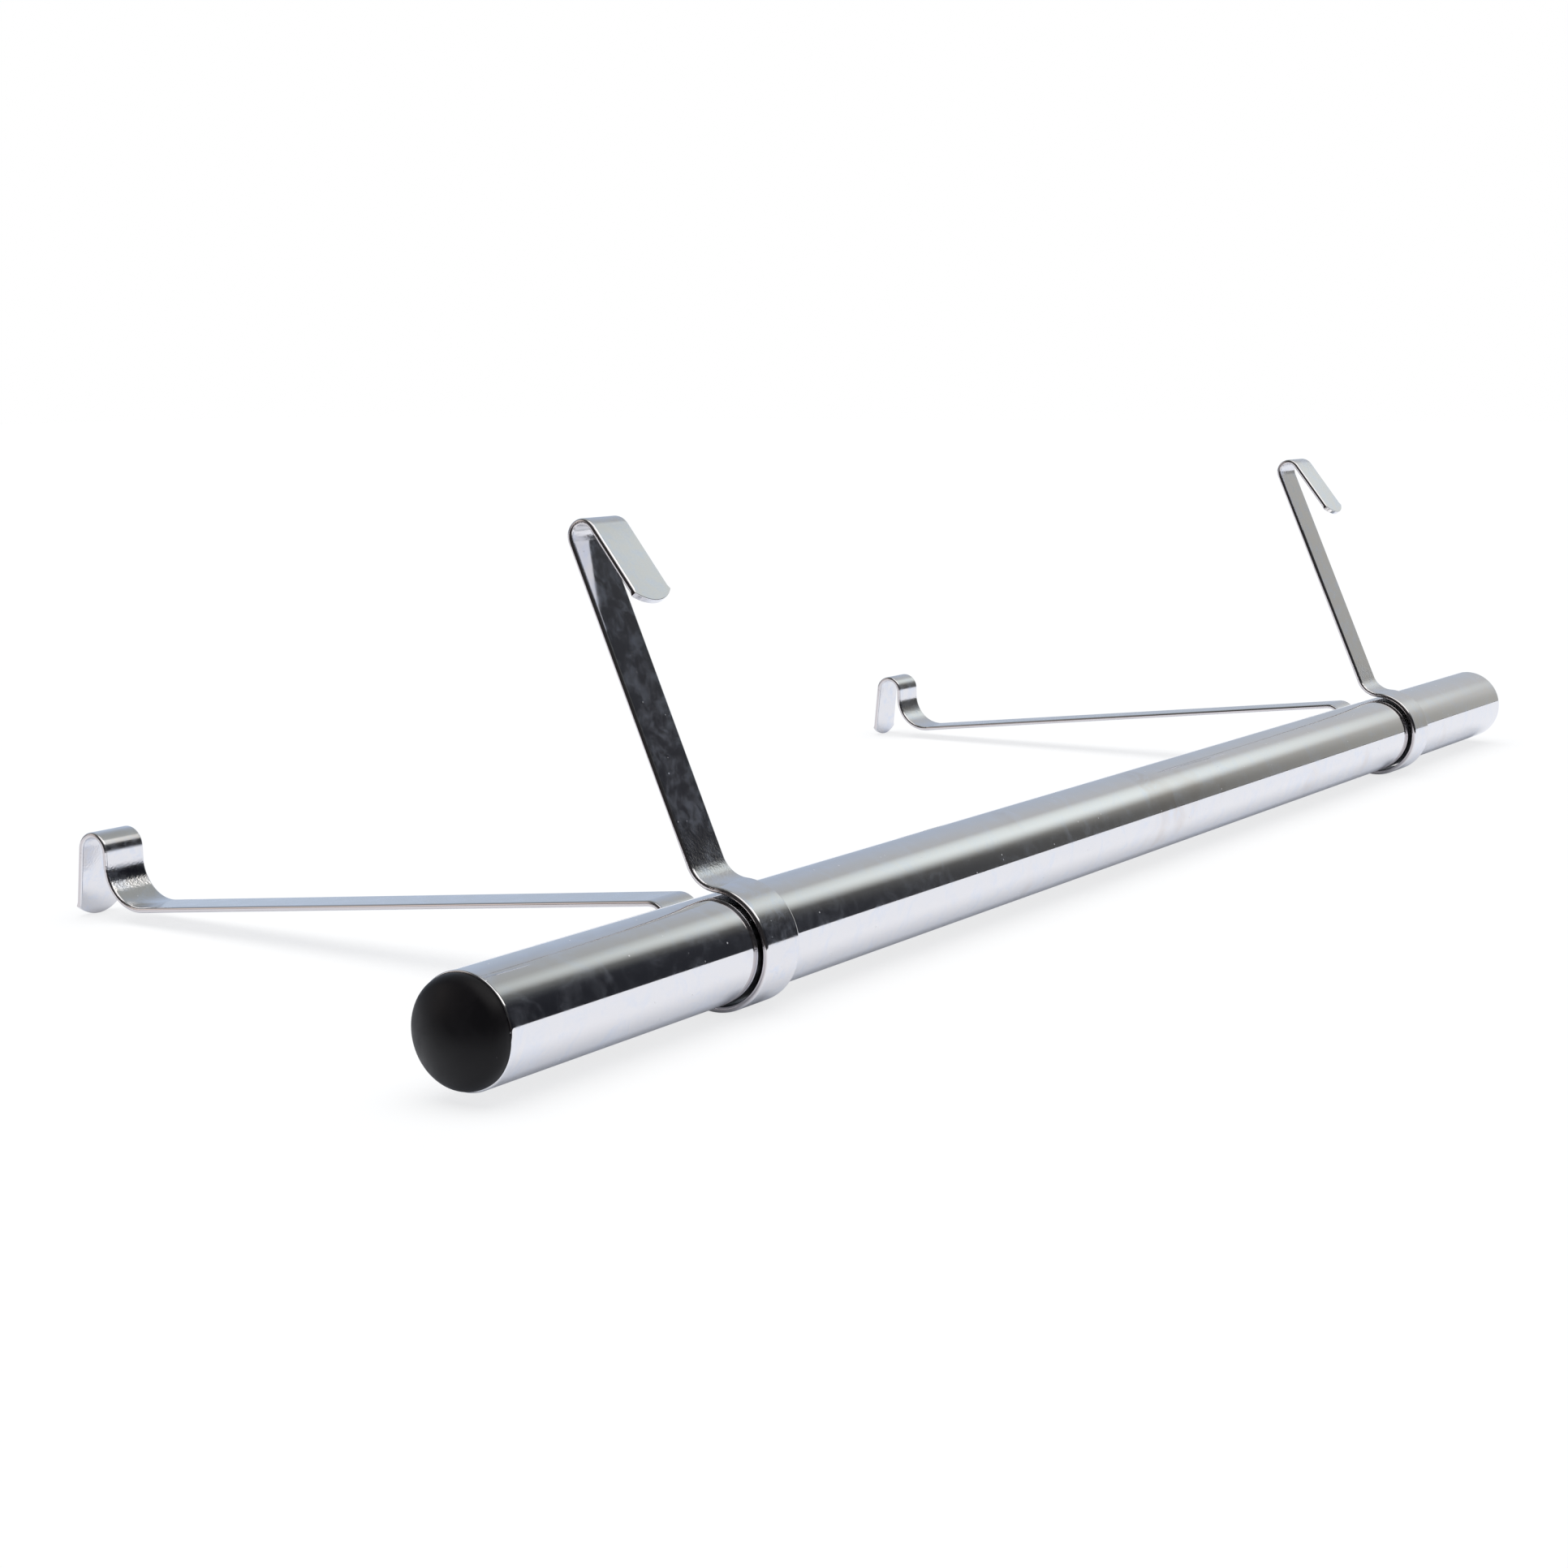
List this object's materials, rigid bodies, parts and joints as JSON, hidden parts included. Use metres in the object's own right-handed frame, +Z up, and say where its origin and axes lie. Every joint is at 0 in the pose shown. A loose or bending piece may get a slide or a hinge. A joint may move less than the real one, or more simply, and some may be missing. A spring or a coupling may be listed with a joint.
{
  "type": "closet rod",
  "caption": "Chromed clothes rod with domed end plugs, carried by bent strip hangers that loop loosely round the tube and end in hooks for a rack or rail.",
  "frame": {"origin": "centre of the rod's outline on the flat surface that it lies on, which touches the bottoms of the two loops and the tips of the two rear hooks", "axes": "+X along the tube, from the left hanger to the right one; +Y to the rear hooks; +Z up, square to the surface"},
  "size_m": [0.613, 0.2238, 0.1111],
  "materials": {
    "chrome_tube": "polished chrome plate",
    "bright_strip": "bright plated steel, slightly satin",
    "black_plastic": "satin moulded plastic"
  },
  "bodies": {
    "rod": {"rod_tube": "chrome_tube", "left_end_cap": "black_plastic", "right_end_cap": "black_plastic"},
    "left_hanger": {"left_hanger": "bright_strip"},
    "right_hanger": {"right_hanger": "bright_strip"}
  },
  "joints": [
    {"name": "left_hanger_swing", "type": "hinge", "parent": "rod", "child": "left_hanger", "pos_m": [-0.2055, -0.09727, 0.0146], "axis": [1, 0, 0], "continuous": true},
    {"name": "right_hanger_swing", "type": "hinge", "parent": "rod", "child": "right_hanger", "pos_m": [0.209, -0.09727, 0.0146], "axis": [1, 0, 0], "continuous": true}
  ]
}
